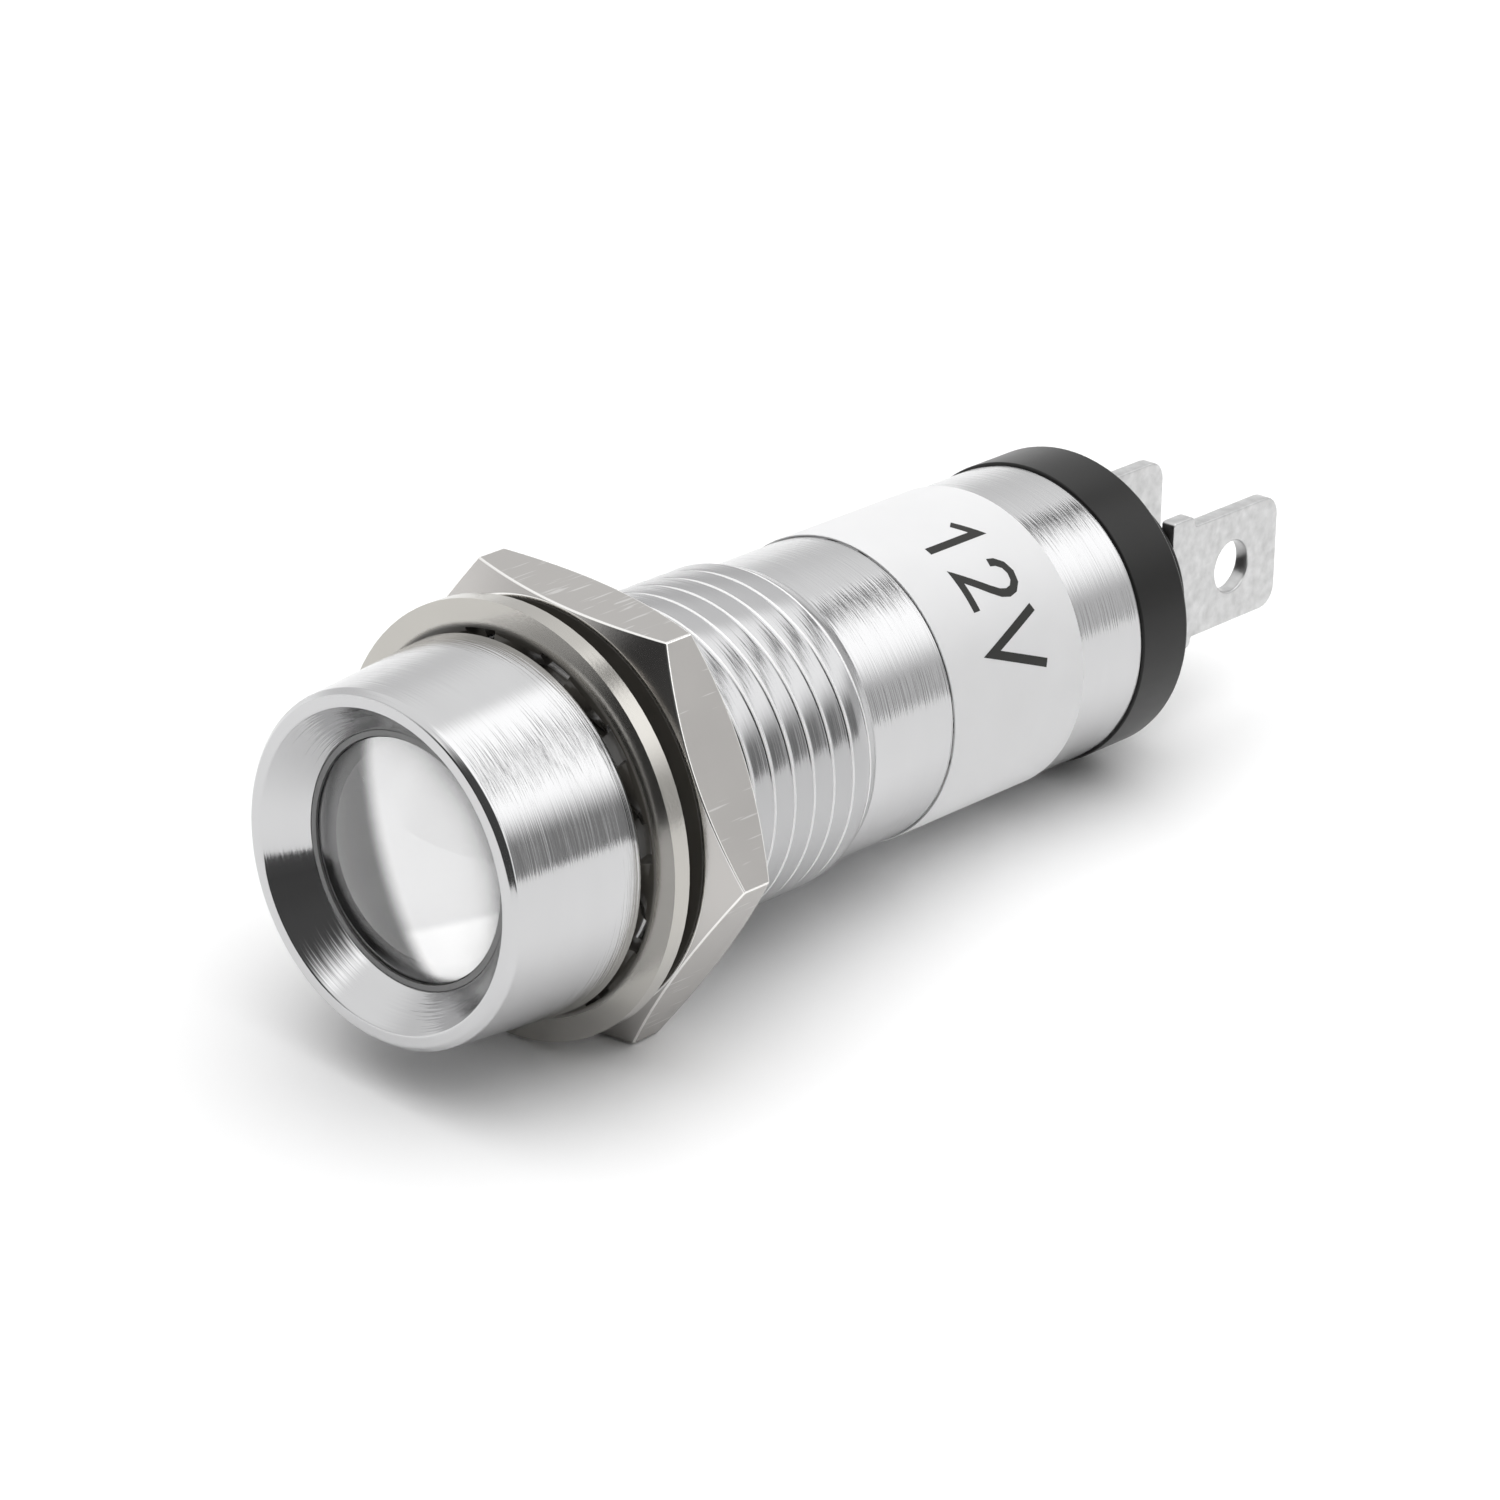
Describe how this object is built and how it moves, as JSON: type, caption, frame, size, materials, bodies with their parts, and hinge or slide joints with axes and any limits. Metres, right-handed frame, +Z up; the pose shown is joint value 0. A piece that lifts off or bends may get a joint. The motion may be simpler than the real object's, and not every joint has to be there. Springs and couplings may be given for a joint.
{
  "type": "panel pilot light",
  "caption": "Round metal panel indicator light: turned bezel with clear domed lens, threaded body, lock washer and hex nut, plain rear sleeve, black end ring and flat tab terminals",
  "frame": {"origin": "on the lamp's axis, in the plane of the bezel's rear face, where the bezel seats on the panel's front", "axes": "+Y runs along the axis from the lens to the terminals, +Z is up with the flat terminals standing upright, +X is to the right seen from behind the lens"},
  "size_m": [0.0174, 0.0443, 0.0154],
  "materials": {
    "bezel_metal": "bright nickel plate, turned",
    "sleeve_metal": "bright nickel plate with fine turning lines",
    "nut_metal": "satin nickel plate with fine scratches",
    "washer_metal": "plated spring steel, slightly warm",
    "clear_plastic": "clear polished plastic",
    "lamp_epoxy": "clear moulded epoxy",
    "dark_rubber": "matte",
    "white_plastic": "satin moulded",
    "liner_film": "amber insulating film",
    "board_green": "solder resist",
    "resistor_body": "lacquered",
    "diode_body": "moulded",
    "tinned_metal": "tin plate, slightly mottled",
    "solder": "bright solder",
    "label_white": "printed white band, satin",
    "black_plastic": "black moulded plastic, satin"
  },
  "bodies": {
    "lamp_body": {"housing": "bezel_metal", "rear_sleeve": "sleeve_metal", "voltage_label": "label_white", "lens": "clear_plastic", "lens_gasket": "dark_rubber", "lamp_holder": "white_plastic", "led_lamp": "lamp_epoxy", "anode_lead": "tinned_metal", "cathode_lead": "tinned_metal", "insulating_liner": "liner_film", "circuit_board": "board_green", "series_resistor": "resistor_body", "reverse_diode": "diode_body", "anode_solder": "solder", "cathode_solder": "solder", "positive_solder": "solder", "negative_solder": "solder", "rear_insulator": "black_plastic", "positive_terminal": "tinned_metal", "negative_terminal": "tinned_metal"},
    "washer": {"lock_washer": "washer_metal"},
    "nut": {"panel_nut": "nut_metal"}
  },
  "joints": [
    {"name": "nut_turn", "type": "hinge", "parent": "washer", "child": "nut", "pos_m": [0, 0.0034, 0], "axis": [0, 1, 0], "range_deg": [0, 2520]},
    {"name": "nut_travel", "type": "slide", "parent": "lamp_body", "child": "washer", "axis": [0, 1, 0], "range_m": [0, 0.007]}
  ],
  "couplings": [
    {"joint": "nut_turn", "follows": "nut_travel", "rad_per_m": 6283.2}
  ]
}
